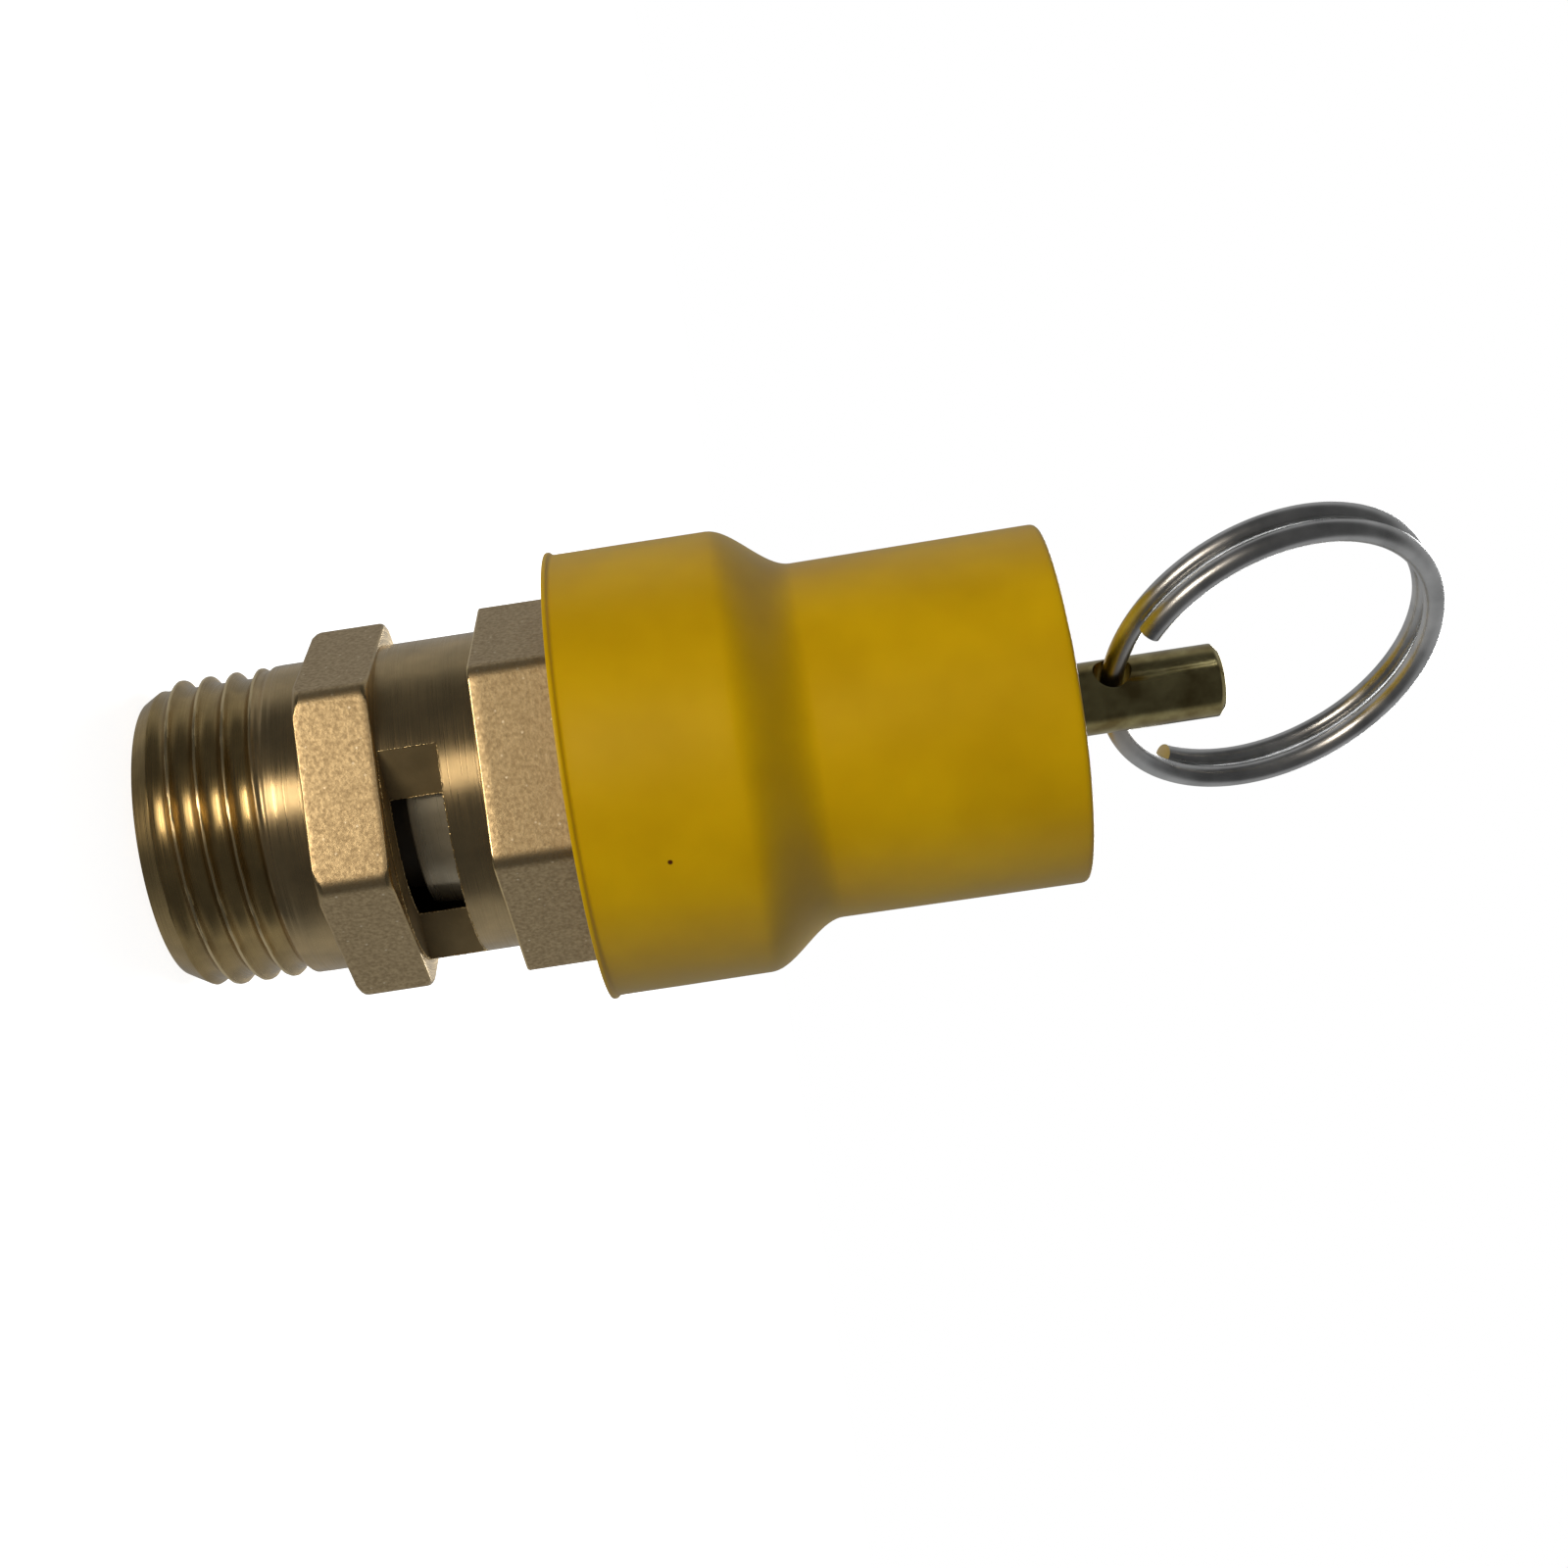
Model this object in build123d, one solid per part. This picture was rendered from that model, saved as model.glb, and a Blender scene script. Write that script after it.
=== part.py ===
from build123d import *
import os
from math import cos, radians, sin, tan

# Pressure relief valve with a pull ring, millimetres.
# The valve axis is Z. Z = 0 is the free end of the male inlet thread and +Z runs towards the
# pull ring. The hexagons have flats facing -Y and +Y.

# Lifting stem
stem_dia = 5.0
stem_beyond_cap = 11.0
stem_tip_chamfer = 0.4
stem_guide_clearance = 0.07
stem_head_step = 1.2
stem_head_height = 1.8
ring_hole_from_cap = 3.6
ring_hole_direction = -125.0

# Swivel of the stem's head in the disc holder, closed by an internal retaining ring
swivel_clearance = 0.1
swivel_end_gap = 0.05
swivel_floor = 0.2
clip_groove_depth = 0.35
clip_width = 0.8
clip_stem_gap = 0.4
clip_gap_angle = 40.0
boss_wall = 0.6
boss_height = 4.2

# Spring and its abutments
spring_wire_dia = 2.0
spring_turns = 6.5
spring_boss_gap = 0.25
spring_side_gap = 0.3
plate_thickness = 1.0
plate_side_gap = 0.45
plate_stem_gap = 0.5
adjuster_height = 8.2
adjuster_thread_pitch = 1.0
adjuster_thread_depth = 0.55
adjuster_thread_clearance = 0.05
adjuster_slot_width = 2.0
adjuster_slot_depth = 2.0
lock_ring_height = 3.2
lock_ring_stem_gap = 2.0
lock_ring_slot_width = 2.4
lock_ring_slot_depth = 1.6
lock_ring_sink = 0.6

# Valve disc assembly
guide_clearance = 0.05
guide_height = 3.8
guide_wall = 0.9
spring_seat_depth = 2.0
holder_rim = 1.2
holder_nose_flare = 0.15
holder_nose_height = 3.0
holder_neck_gap = 0.6
seal_thickness = 2.3
seal_proud = 1.4
seal_overhang = 0.15
clamp_washer_gap = 0.95
clamp_washer_thickness = 0.8
clamp_screw_dia = 3.0
clamp_screw_head_dia = 5.5
clamp_screw_head_height = 1.6
clamp_screw_reach = 4.6

# Inlet and seat in the body
thread_major_dia = 20.955  # G1/2 parallel pipe thread
thread_pitch = 1.814
thread_depth = 1.162
thread_end_step = 1.13
thread_lead_in = 1.9
thread_runout = 2.55
shank_length = 11.15
inlet_bore_dia = 12.5
inlet_mouth_chamfer = 0.5
seat_throat_dia = 9.5
seat_crest_width = 0.9
seat_lip_height = 1.2
seat_lip_taper = 0.3
seat_below_neck = 0.5
seat_land = 2.6

# Outside of the body, turned from hexagonal bar with its flats just cleaned up at the neck
socket_step = 0.8
housing_wall = 1.35
housing_length = 23.0
housing_chamfer = 0.5
neck_step = 0.35
neck_length = 6.4
neck_cleanup = 0.25
corner_clip = 0.2
lower_hex_length = 4.95
upper_hex_length = 10.5
hex_inlet_corner_cut = 0.6
hex_inlet_chamfer = 0.55
hex_neck_edge = 0.45
upper_hex_edge = 0.2

# Exhaust windows, milled straight across the neck on two opposite sides
window_break_in = 1.35
window_height = 3.85
window_above_hex = 0.05
window_direction = -51.0
window_count = 2

# Soft plastic cap
cap_above_neck = 5.4
cap_skirt_past_hex = 5.7
cap_shoulder_length = 5.3
cap_skirt_gap = 1.0
cap_fit_clearance = 0.15
cap_wall = 1.55
cap_end_wall = 2.0
cap_headroom = 2.7
cap_flare = 0.15
cap_rim_radius = 1.0
cap_lip_edge = 0.25
cap_lip_flash = 0.2
cap_hole_clearance = 0.5

# Split pull ring of round wire: angles along the wire from the cross hole to its two ends,
# and the lean of the ring from the stem's axis
ring_wire_dia = 1.5
ring_mean_dia = 23.2
ring_lay = 1.75
ring_near_end = 325.0
ring_far_end = 307.0
ring_swing = 9.0
ring_hole_slack = 0.55

# Diameters that follow from what sits inside what, from the stem outwards
stem_head_dia = stem_dia + 2 * stem_head_step
swivel_dia = stem_head_dia + 2 * swivel_clearance
clip_groove_dia = swivel_dia + 2 * clip_groove_depth
boss_dia = clip_groove_dia + 2 * boss_wall
spring_mean_dia = boss_dia + 2 * spring_boss_gap + spring_wire_dia
holder_cup_dia = spring_mean_dia + spring_wire_dia + 2 * spring_side_gap
guide_dia = holder_cup_dia + 2 * guide_wall
chamber_dia = guide_dia + 2 * guide_clearance
socket_dia = chamber_dia + 2 * socket_step
adjuster_dia = socket_dia - 2 * adjuster_thread_clearance
housing_dia = socket_dia + 2 * housing_wall
neck_dia = housing_dia + 2 * neck_step
across_flats = neck_dia + 2 * neck_cleanup
corner_dia = across_flats / cos(radians(30)) - 2 * corner_clip
seal_dia = seat_throat_dia + 2 * (seat_crest_width + seal_overhang)
holder_nose_dia = seal_dia + 2 * holder_rim
clamp_washer_dia = seat_throat_dia - 2 * clamp_washer_gap
ring_hole_dia = ring_wire_dia + 2 * ring_hole_slack
cap_inner_skirt_dia = corner_dia + 2 * cap_skirt_gap
cap_inner_grip_dia = housing_dia + 2 * cap_fit_clearance

# Levels along the axis
thread_length = shank_length - thread_runout
hex_top = shank_length + lower_hex_length
neck_top = hex_top + neck_length
upper_hex_top = neck_top + upper_hex_length
housing_top = upper_hex_top + housing_length
seat_level = hex_top - seat_below_neck
deck_level = seat_level - seat_lip_height
socket_floor = housing_top - lock_ring_sink - lock_ring_height - adjuster_height
holder_bottom = seat_level + seal_proud
guide_bottom = holder_bottom + holder_nose_height + holder_neck_gap
guide_top = guide_bottom + guide_height
spring_seat = guide_top - spring_seat_depth
boss_top = spring_seat + boss_height
swivel_level = spring_seat + swivel_floor
clip_level = swivel_level + 2 * swivel_end_gap + stem_head_height
spring_top = socket_floor - plate_thickness
cap_start = neck_top + cap_above_neck
cap_top = housing_top + cap_headroom + cap_end_wall
stem_top = cap_top + stem_beyond_cap
ring_hole_level = cap_top + ring_hole_from_cap


def turned(*corners):
    """A solid turned about Z from (radius, height) corners."""
    return revolve(Plane.XZ * make_face(Polyline(*corners, close=True)), Axis.Z)


def disc(dia, low, high):
    """A round slab about Z between two levels."""
    return Pos(0, 0, (low + high) / 2) * Cylinder(dia / 2, high - low)


def thread_groove(major_dia, pitch, depth, start, end):
    """The helical groove that a 55 degree thread die leaves between two levels."""
    flank = depth * tan(radians(27.5))
    root_half = (pitch / 2 - flank) / 2
    relief = depth / 10
    top_half = root_half + flank * (1 + relief / depth)
    root = major_dia / 2 - depth
    path = Pos(0, 0, start) * Helix(pitch=pitch, height=end - start, radius=root)
    section = Plane(origin=path @ 0, x_dir=(1, 0, 0), z_dir=path % 0) * make_face(
        Polyline(
            (0, -root_half),
            (depth + relief, -top_half),
            (depth + relief, top_half),
            (0, root_half),
            close=True,
        )
    )
    return sweep(section, path=path, is_frenet=True)


def hexagon_bar():
    """The hexagonal bar that the body is turned from, with flats facing -Y and +Y."""
    bar = RegularPolygon(radius=across_flats / 2, side_count=6, major_radius=False)
    below = disc(2 * thread_major_dia, 0, shank_length)
    return below + Pos(0, 0, shank_length) * extrude(bar, amount=housing_top - shank_length)


def body_outside():
    """The turned outline, in order from the inlet end."""
    corner = corner_dia / 2
    shank = thread_major_dia / 2
    return turned(
        (0, 0),
        (shank - thread_end_step, 0),
        (shank, thread_lead_in),
        (shank, shank_length),
        (corner - hex_inlet_corner_cut, shank_length),
        (corner, shank_length + hex_inlet_chamfer),
        (corner, hex_top - hex_neck_edge),
        (corner - hex_neck_edge, hex_top),
        (neck_dia / 2, hex_top),
        (neck_dia / 2, neck_top),
        (corner - upper_hex_edge, neck_top),
        (corner, neck_top + upper_hex_edge),
        (corner, upper_hex_top - hex_neck_edge),
        (corner - hex_neck_edge, upper_hex_top),
        (housing_dia / 2, upper_hex_top),
        (housing_dia / 2, housing_top - housing_chamfer),
        (housing_dia / 2 - housing_chamfer, housing_top),
        (0, housing_top),
    )


def body_bores():
    """Inlet bore, seat throat, spring chamber and the socket for the adjusting screw."""
    inlet = inlet_bore_dia / 2
    throat = seat_throat_dia / 2
    lip = throat + seat_crest_width
    throat_start = seat_level - seat_land
    return turned(
        (0, 0),
        (inlet + inlet_mouth_chamfer, 0),
        (inlet, inlet_mouth_chamfer),
        (inlet, throat_start - (inlet - throat) / 2),
        (throat, throat_start),
        (throat, seat_level),
        (lip, seat_level),
        (lip + seat_lip_taper, deck_level),
        (chamber_dia / 2, deck_level),
        (chamber_dia / 2, socket_floor),
        (socket_dia / 2, socket_floor),
        (socket_dia / 2, housing_top),
        (0, housing_top),
    )


def exhaust_windows():
    """Straight cuts across the neck that open the chamber on opposite sides."""
    cut_depth = neck_dia / 2
    cutter = Box(cut_depth, 2 * neck_dia, window_height)
    low = hex_top + window_above_hex
    flat = chamber_dia / 2 - window_break_in
    placed = Pos(flat + cut_depth / 2, 0, low + window_height / 2) * cutter
    step = 360 / window_count
    return [Rot(0, 0, window_direction + step * i) * placed for i in range(window_count)]


def make_body():
    solid = body_outside() - thread_groove(
        thread_major_dia, thread_pitch, thread_depth, -thread_pitch / 2, thread_length
    )
    solid = solid & hexagon_bar()
    solid -= body_bores()
    for window in exhaust_windows():
        solid -= window
    return solid


def make_seal_disc():
    top = seat_level + seal_thickness
    return disc(seal_dia, seat_level, top) - disc(clamp_screw_dia, seat_level, top)


def make_seal_washer():
    low = seat_level - clamp_washer_thickness
    return disc(clamp_washer_dia, low, seat_level) - disc(clamp_screw_dia, low, seat_level)


def make_seal_screw():
    """Cheese head screw with a driver slot, pointing up into the disc holder."""
    under_head = seat_level - clamp_washer_thickness
    head_low = under_head - clamp_screw_head_height
    shank_top = seat_level + clamp_screw_reach
    screw = disc(clamp_screw_head_dia, head_low, under_head)
    screw += disc(clamp_screw_dia, under_head, shank_top)
    slot_depth = clamp_screw_head_height / 2
    slot = Box(clamp_screw_head_dia * 2, clamp_screw_head_height / 2, slot_depth)
    return screw - Pos(0, 0, head_low + slot_depth / 2) * slot


def make_disc_holder():
    """Piston that carries the seal below and the spring and the swivelling stem head above."""
    seal_recess = seat_level + seal_thickness
    nose = holder_nose_dia / 2
    guide = guide_dia / 2
    swivel = swivel_dia / 2
    solid = turned(
        (0, holder_bottom),
        (nose, holder_bottom),
        (nose + holder_nose_flare, holder_bottom + holder_nose_height),
        (nose + holder_nose_flare, guide_bottom),
        (guide, guide_bottom),
        (guide, guide_top),
        (holder_cup_dia / 2, guide_top),
        (holder_cup_dia / 2, spring_seat),
        (boss_dia / 2, spring_seat),
        (boss_dia / 2, boss_top),
        (swivel, boss_top),
        (swivel, swivel_level),
        (0, swivel_level),
    )
    solid -= disc(seal_dia, holder_bottom, seal_recess)
    solid -= disc(clamp_screw_dia, holder_bottom, seat_level + clamp_screw_reach)
    return solid - disc(clip_groove_dia, clip_level, clip_level + clip_width)


def make_stem_clip():
    """Internal retaining ring that keeps the stem head in the disc holder."""
    top = clip_level + clip_width
    hole = disc(stem_dia + 2 * clip_stem_gap, clip_level, top)
    ring = disc(clip_groove_dia, clip_level, top) - hole
    reach = clip_groove_dia
    half = radians(clip_gap_angle / 2)
    wedge = make_face(
        Polyline(
            (0, 0),
            (reach * cos(half), -reach * sin(half)),
            (reach * cos(half), reach * sin(half)),
            close=True,
        )
    )
    return ring - Pos(0, 0, clip_level) * extrude(wedge, amount=clip_width)


def make_stem():
    """Steel rod with a turned head at its foot and a cross hole for the pull ring."""
    head_low = swivel_level + swivel_end_gap
    rod = stem_dia / 2
    solid = turned(
        (0, head_low),
        (stem_head_dia / 2, head_low),
        (stem_head_dia / 2, head_low + stem_head_height),
        (rod, head_low + stem_head_height),
        (rod, stem_top - stem_tip_chamfer),
        (rod - stem_tip_chamfer, stem_top),
        (0, stem_top),
    )
    return solid - ring_frame() * Rot(90, 0, 0) * Cylinder(ring_hole_dia / 2, 2 * stem_dia)


def make_spring():
    """Helical compression spring with its ends ground flat."""
    wire = spring_wire_dia / 2
    low = spring_seat + wire / 2
    high = spring_top - wire / 2
    path = Pos(0, 0, low) * Helix(
        pitch=(high - low) / spring_turns, height=high - low, radius=spring_mean_dia / 2
    )
    section = Plane(origin=path @ 0, z_dir=path % 0) * Circle(wire)
    coil = sweep(section, path=path, is_frenet=True)
    return coil & disc(spring_mean_dia + 2 * spring_wire_dia, spring_seat, spring_top)


def make_spring_plate():
    plate = disc(chamber_dia - 2 * plate_side_gap, spring_top, socket_floor)
    return plate - disc(stem_dia + 2 * plate_stem_gap, spring_top, socket_floor)


def threaded_outline(dia, low, high):
    """Corners of a fine external thread drawn as plain rings, from low to high."""
    rings = int((high - low) / adjuster_thread_pitch)
    edge = (high - low - rings * adjuster_thread_pitch) / 2
    crest = dia / 2
    corners = [(crest, low + edge)]
    for ring in range(rings):
        start = low + edge + ring * adjuster_thread_pitch
        corners.append((crest - adjuster_thread_depth, start + adjuster_thread_pitch / 2))
        corners.append((crest, start + adjuster_thread_pitch))
    return [(crest - adjuster_thread_depth, low)] + corners + [(crest - adjuster_thread_depth, high)]


def make_adjusting_screw():
    """Brass plug that sets the spring load and guides the stem."""
    low = socket_floor
    high = low + adjuster_height
    guide = stem_dia / 2 + stem_guide_clearance
    outline = threaded_outline(adjuster_dia, low, high)
    plug = turned((guide, low), *outline, (guide, high))
    slot = Box(2 * adjuster_dia, adjuster_slot_width, adjuster_slot_depth)
    return plug - Pos(0, 0, high - adjuster_slot_depth / 2) * slot


def make_lock_ring():
    """Thin threaded ring that jams the adjusting screw."""
    low = socket_floor + adjuster_height
    high = low + lock_ring_height
    outline = threaded_outline(adjuster_dia, low, high)
    hole = stem_dia / 2 + lock_ring_stem_gap
    ring = turned((hole, low), *outline, (hole, high))
    slot = Box(2 * adjuster_dia, lock_ring_slot_width, lock_ring_slot_depth)
    return ring - Pos(0, 0, high - lock_ring_slot_depth / 2) * slot


def shoulder(low_radius, high_radius, low, high):
    """Two tangent arcs that carry a wall smoothly from one radius to the next."""
    middle = ((low_radius + high_radius) / 2, (low + high) / 2)
    first = TangentArc((low_radius, low), middle, tangent=(0, 1))
    return first + TangentArc((high_radius, high), middle, tangent=(0, -1))


def make_cap():
    """Moulded cap: a wide skirt, a rounded shoulder and a grip pushed over the spring housing."""
    inner_skirt = cap_inner_skirt_dia / 2
    inner_grip = cap_inner_grip_dia / 2
    skirt = inner_skirt + cap_wall
    grip = inner_grip + cap_wall
    end = grip + cap_flare
    skirt_top = upper_hex_top + cap_skirt_past_hex
    grip_start = skirt_top + cap_shoulder_length
    lip = skirt + cap_lip_flash
    lip_top = cap_start + cap_lip_edge
    hole = stem_dia / 2 + cap_hole_clearance
    roof = cap_top - cap_end_wall
    rim = cap_top - cap_rim_radius
    outline = Polyline((inner_skirt, cap_start), (lip, cap_start), (lip, lip_top), (skirt, lip_top),
                       (skirt, skirt_top))
    outline += shoulder(skirt, grip, skirt_top, grip_start)
    outline += Line((grip, grip_start), (end, rim))
    outline += TangentArc((end, rim), (end - cap_rim_radius, cap_top), tangent=(0, 1))
    outline += Polyline((end - cap_rim_radius, cap_top), (hole, cap_top), (hole, roof),
                        (inner_grip, roof), (inner_grip, grip_start))
    outline += shoulder(inner_skirt, inner_grip, skirt_top, grip_start)
    outline += Line((inner_skirt, skirt_top), (inner_skirt, cap_start))
    return revolve(Plane.XZ * make_face(outline), Axis.Z)


def ring_frame():
    """Frame of the cross hole: Y along the hole and Z along the stem."""
    return Pos(0, 0, ring_hole_level) * Rot(0, 0, ring_hole_direction - 90)


def make_split_ring():
    """Round wire wound nearly two turns; its middle passes through the stem's cross hole."""
    radius = ring_mean_dia / 2
    bow = radius * (1 - cos(stem_dia / ring_mean_dia)) / 2
    rise = ring_lay * (ring_near_end + ring_far_end) / 360
    path = Helix(pitch=ring_lay, height=rise, radius=radius)
    section = Plane(origin=path @ 0, z_dir=path % 0) * Circle(ring_wire_dia / 2)
    coil = sweep(section, path=path, is_frenet=True)
    at_hole = Pos(0, 0, -ring_lay * ring_far_end / 360) * Rot(0, 0, 180 - ring_far_end)
    upright = Rot(0, ring_swing - 90, 0) * Pos(radius - bow, 0, 0)
    return ring_frame() * upright * at_hole * coil


PARTS = {
    "body": make_body,
    "seal_disc": make_seal_disc,
    "seal_washer": make_seal_washer,
    "seal_screw": make_seal_screw,
    "disc_holder": make_disc_holder,
    "stem_clip": make_stem_clip,
    "stem": make_stem,
    "spring": make_spring,
    "spring_plate": make_spring_plate,
    "adjusting_screw": make_adjusting_screw,
    "lock_ring": make_lock_ring,
    "cap": make_cap,
    "split_ring": make_split_ring,
}

os.makedirs("parts", exist_ok=True)
for name, make in PARTS.items():
    export_step(make(), f"parts/{name}.step")
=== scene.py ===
import math

import bmesh
import bpy
import numpy as np
from mathutils import Matrix, Vector


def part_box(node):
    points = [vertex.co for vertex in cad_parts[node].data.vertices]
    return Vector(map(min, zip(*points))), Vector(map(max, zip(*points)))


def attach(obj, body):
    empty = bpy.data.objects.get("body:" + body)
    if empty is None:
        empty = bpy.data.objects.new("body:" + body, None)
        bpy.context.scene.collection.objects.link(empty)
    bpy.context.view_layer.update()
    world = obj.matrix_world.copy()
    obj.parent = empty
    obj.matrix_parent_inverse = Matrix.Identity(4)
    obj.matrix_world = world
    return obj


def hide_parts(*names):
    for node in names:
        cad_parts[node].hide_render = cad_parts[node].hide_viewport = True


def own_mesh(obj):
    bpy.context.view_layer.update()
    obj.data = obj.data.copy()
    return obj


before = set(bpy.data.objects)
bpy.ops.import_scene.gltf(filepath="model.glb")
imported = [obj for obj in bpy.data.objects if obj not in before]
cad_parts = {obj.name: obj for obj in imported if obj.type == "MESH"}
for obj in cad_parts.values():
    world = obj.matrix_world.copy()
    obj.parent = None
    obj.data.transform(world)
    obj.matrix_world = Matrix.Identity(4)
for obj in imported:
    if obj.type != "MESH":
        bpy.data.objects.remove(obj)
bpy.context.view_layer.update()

# ---------------------------------------------------------------------------------------------
# Body. Free-cutting brass, turned in one piece from drawn hexagonal bar: the inlet thread, two
# runs of hexagon with a neck between them, and the thin housing that the cap is pushed over.
# Two windows are milled straight across the neck, and their burrs are left on.
# ---------------------------------------------------------------------------------------------
mm = 0.001
body_low, body_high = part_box("body")
across_flats = (body_high.y - body_low.y) / mm
corner_radius = body_high.x / mm
body_top = body_high.z / mm

shank_radius = 10.4775
thread_pitch = 1.814
thread_depth = 0.6
thread_crest = 0.09
thread_hollow = 3.0
thread_end = 8.6
thread_highlight_end = thread_end - 0.6
thread_runout = 0.9
thread_lead_in = 1.9
thread_step = 0.08
thread_shift = 0.03
relief_length = 2.0
end_face_radius = 9.3475
end_face_edge = end_face_radius - 0.08
lower_hex = (11.15, 16.1)
lower_cuts = ((11.9, 0.9), (12.05, 0.9))
upper_hex = (22.5, 33.0)
upper_cuts = ((12.35, 1.0), (12.05, 1.0))
neck_radius = 10.75
housing_radius = 10.4
hex_edge = 0.14
rim_chamfer = 0.5
bore_radius = 6.25
throat_radius = 4.75
throat_cone = (11.5, 13.0)
seat_level = 15.6
seat_height = 1.2
seat_foot_radius = 5.95
seat_rim_radius = 5.65
chamber_radius = 8.25
socket_radius = 9.05
socket_floor = 44.0
window_plane = 6.9
window_levels = (16.15, 20.0)
window_directions = (-51.0, 129.0)


def linear(code):
    """An sRGB hex colour as the linear RGBA that a shader takes."""
    parts = [int(code[i : i + 2], 16) / 255 for i in (0, 2, 4)]
    return [v / 12.92 if v <= 0.04045 else ((v + 0.055) / 1.055) ** 2.4 for v in parts] + [1.0]


def node(tree, kind, settings=None, links=None):
    """Adds a node. Settings are its attributes or socket values, and links are socket: output."""
    made = tree.nodes.new(kind)
    for key, value in (settings or {}).items():
        if isinstance(key, str) and hasattr(made, key):
            setattr(made, key, value)
        else:
            made.inputs[key].default_value = value
    for key, output in (links or {}).items():
        tree.links.new(output, made.inputs[key])
    return made


def new_material(name):
    """An empty node material with its shader: (material, tree, shader)."""
    material = bpy.data.materials.new(name)
    material.use_nodes = True
    tree = material.node_tree
    return material, tree, tree.nodes["Principled BSDF"]


def lathe_coordinates(tree):
    """Distance from the axis, height and a little of the angle, so that a pattern runs in rings."""
    place = node(tree, "ShaderNodeTexCoord").outputs["Object"]
    split = node(tree, "ShaderNodeSeparateXYZ", None, {0: place}).outputs
    flat = node(tree, "ShaderNodeCombineXYZ", None, {"X": split["X"], "Y": split["Y"]})
    radius = node(tree, "ShaderNodeVectorMath", {"operation": "LENGTH"}, {0: flat.outputs[0]})
    rings = node(
        tree, "ShaderNodeCombineXYZ", None, {"X": radius.outputs["Value"], "Y": split["Z"]}
    )
    drift = node(tree, "ShaderNodeVectorMath", {"operation": "SCALE", "Scale": 0.012}, {0: place})
    return node(
        tree,
        "ShaderNodeVectorMath",
        {"operation": "ADD"},
        {0: rings.outputs[0], 1: drift.outputs[0]},
    ).outputs[0]


def turned_brass(name, dark, light, roughness, line_width, line_height, metallic=1.0, highlight_radius=None):
    """Lathe-turned brass: fine rings that catch the light as a streak, and a dull handled film.
    Beyond the highlight radius a lighter bare-brass colour is mixed in: a painted highlight along
    the thread's crests."""
    film_patch = 2.5
    highlight_blend = 0.07
    material, tree, shader = new_material(name)
    rings = lathe_coordinates(tree)
    lines = node(
        tree,
        "ShaderNodeTexNoise",
        {"Scale": 1 / (line_width * mm), "Detail": 3.0},
        {"Vector": rings},
    ).outputs["Fac"]
    place = node(tree, "ShaderNodeTexCoord").outputs["Object"]
    film = node(
        tree,
        "ShaderNodeTexNoise",
        {"Scale": 1 / (film_patch * mm), "Detail": 5.0},
        {"Vector": place},
    ).outputs["Fac"]
    film_share = node(
        tree, "ShaderNodeMapRange", {"From Min": 0.3, "From Max": 0.7}, {"Value": film}
    ).outputs[0]
    colour = node(
        tree,
        "ShaderNodeMixRGB",
        {"Color1": linear(dark), "Color2": linear(light)},
        {"Fac": film_share},
    ).outputs[0]
    # Painted highlight: beyond the given radius, on the thread's crests, a lighter colour is mixed
    # in.
    if highlight_radius:
        flat = node(
            tree, "ShaderNodeVectorMath", {"operation": "MULTIPLY", 1: (1, 1, 0)}, {0: place}
        )
        radius = node(tree, "ShaderNodeVectorMath", {"operation": "LENGTH"}, {0: flat.outputs[0]})
        painted_crest_highlight = node(
            tree,
            "ShaderNodeMapRange",
            {"From Min": (highlight_radius - highlight_blend) * mm, "From Max": highlight_radius * mm},
            {"Value": radius.outputs["Value"]},
        ).outputs[0]
        colour = node(
            tree, "ShaderNodeMixRGB", {"Color2": linear("F4DFB0")}, {"Fac": painted_crest_highlight, "Color1": colour}
        ).outputs[0]
    tree.links.new(colour, shader.inputs["Base Color"])
    dullness = node(
        tree,
        "ShaderNodeMapRange",
        {"From Min": 0.3, "From Max": 0.7, "To Min": roughness - 0.08, "To Max": roughness + 0.1},
        {"Value": lines},
    ).outputs[0]
    tree.links.new(dullness, shader.inputs["Roughness"])
    around = node(tree, "ShaderNodeTangent", {"direction_type": "RADIAL", "axis": "Z"})
    tree.links.new(around.outputs[0], shader.inputs["Tangent"])
    shader.inputs["Anisotropic"].default_value = 0.75
    shader.inputs["Anisotropic Rotation"].default_value = 0.25
    bump = node(
        tree, "ShaderNodeBump", {"Strength": 1.0, "Distance": line_height * mm}, {"Height": lines}
    ).outputs[0]
    tree.links.new(bump, shader.inputs["Normal"])
    shader.inputs["Metallic"].default_value = metallic
    return material


# Turned faces reflect in rings, dark olive where the room is dark and gold where the lamp is.
brass_turned = turned_brass("brass_turned", "B7A27A", "D6BC8C", 0.32, 0.08, 0.008)
# The thread is the same brass, with a painted highlight on its crests: they are painted a lighter
# colour.
brass_threaded = turned_brass(
    "brass_threaded", "A58F62", "C8AD76", 0.3, 0.08, 0.006, highlight_radius=shank_radius
)
# The chamber and the milled windows are a darker, duller brass than the outside.
brass_bored = turned_brass("brass_bored", "94825E", "AE9970", 0.5, 0.14, 0.004, 0.6)
# Torn and knocked edges are bare metal, painted the lightest brass on the valve: partly the metal's
# own colour, partly a painted highlight along the edges.
brass_burr_and_highlight = turned_brass("brass_bare_burr_and_painted_highlight", "DCC08A", "F2DBA4", 0.28, 0.2, 0.01)


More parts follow.
